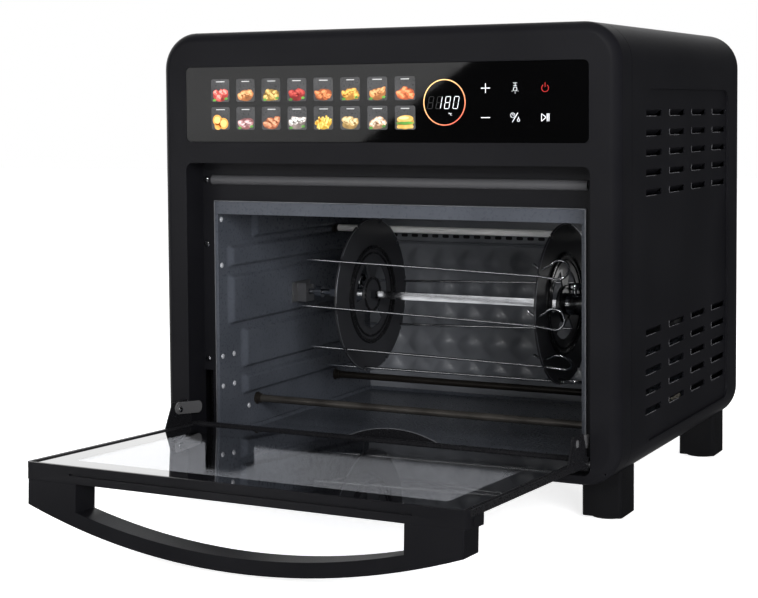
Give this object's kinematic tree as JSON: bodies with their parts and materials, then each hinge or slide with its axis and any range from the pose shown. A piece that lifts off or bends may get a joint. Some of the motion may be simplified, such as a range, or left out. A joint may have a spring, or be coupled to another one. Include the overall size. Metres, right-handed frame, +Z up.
{
  "type": "rotisserie oven",
  "caption": "Countertop convection oven with a drop-down glass door, touch strip, tube heaters, roof fan and a driven rotisserie spit with kebab discs and skewers.",
  "frame": {"origin": "middle of the bounding box's underside, on the surface the feet stand on, with the door open", "axes": "+Z up, -Y towards the user at the front, +X to the user's right"},
  "size_m": [0.4, 0.552, 0.379],
  "materials": {
    "housing_paint": "satin black powder coat",
    "bezel_plastic": "satin black, fine matt grain",
    "strip_glass": "glossy black printed glass",
    "circuit_board": "green lacquered board",
    "foot_plastic": "fine matt",
    "pad_rubber": "matt",
    "enamel": "dark blue-grey enamel, slightly glossy",
    "bar_grey": "satin grey",
    "chrome_wire": "bright plated",
    "heater_sheath": "brown-grey, heat tinted",
    "ceramic": "glazed ceramic",
    "bright_steel": "plain pressed steel",
    "cooler_plastic": "matt",
    "lamp_glass": "frosted",
    "door_glass": "smoked tempered glass with a printed border",
    "rail_plastic": "satin black",
    "disc_steel": "black non-stick coat"
  },
  "bodies": {
    "housing": {"front_bezel": "bezel_plastic", "control_glass": "strip_glass", "control_board": "circuit_board", "outer_shell": "housing_paint", "rear_cover": "housing_paint", "base_plate": "housing_paint", "foot_front_left": "foot_plastic", "foot_front_right": "foot_plastic", "foot_rear_left": "foot_plastic", "foot_rear_right": "foot_plastic", "foot_pads": "pad_rubber", "front_frame": "housing_paint", "cavity_left_wall": "enamel", "cavity_right_wall": "enamel", "cavity_back_wall": "enamel", "cavity_roof": "enamel", "cavity_floor": "enamel", "seal_bar": "bar_grey", "frame_screws": "chrome_wire", "cavity_rivets": "chrome_wire", "heater_upper_front": "heater_sheath", "heater_upper_rear": "heater_sheath", "heater_lower_front": "heater_sheath", "heater_lower_rear": "heater_sheath", "heater_terminals": "ceramic", "fan_guard": "chrome_wire", "fan_dome": "bright_steel", "fan_motor": "bright_steel", "lamp_lens": "lamp_glass", "lamp_socket": "bright_steel", "spit_motor": "bright_steel", "spit_cradle": "bright_steel", "cord_gland": "pad_rubber", "hinge_mount_left": "bright_steel", "hinge_mount_right": "bright_steel"},
    "door": {"door_pane": "door_glass", "door_front_rail": "rail_plastic", "door_hinge_rail": "housing_paint", "door_trim_left": "housing_paint", "door_trim_right": "housing_paint", "door_plugs": "rail_plastic", "door_handle": "rail_plastic", "handle_screws": "bright_steel", "hinge_arm_left": "bright_steel", "hinge_arm_right": "bright_steel"},
    "spit": {"spit_bar": "chrome_wire", "drive_coupling": "chrome_wire", "disc_left": "disc_steel", "disc_right": "disc_steel", "disc_hubs": "chrome_wire", "thumb_screws": "chrome_wire", "skewer_1": "chrome_wire", "skewer_2": "chrome_wire", "skewer_3": "chrome_wire", "skewer_4": "chrome_wire", "skewer_5": "chrome_wire", "skewer_6": "chrome_wire"},
    "fan": {"fan_wheel": "bright_steel", "cooling_wheel": "cooler_plastic"},
    "tray": {"crumb_tray": "enamel"}
  },
  "joints": [
    {"name": "door_hinge", "type": "hinge", "parent": "housing", "child": "door", "pos_m": [0, -0.05298, 0.0496], "axis": [-1, 0, 0], "range_deg": [0, 87.6]},
    {"name": "spit_turn", "type": "hinge", "parent": "housing", "child": "spit", "pos_m": [0, 0.09902, 0.15], "axis": [1, 0, 0], "continuous": true},
    {"name": "fan_spin", "type": "hinge", "parent": "housing", "child": "fan", "pos_m": [0, 0.09902, 0.252], "axis": [0, 0, 1], "continuous": true},
    {"name": "tray_lift", "type": "slide", "parent": "housing", "child": "tray", "axis": [0, 0, 1], "range_m": [0, 0.015]}
  ]
}
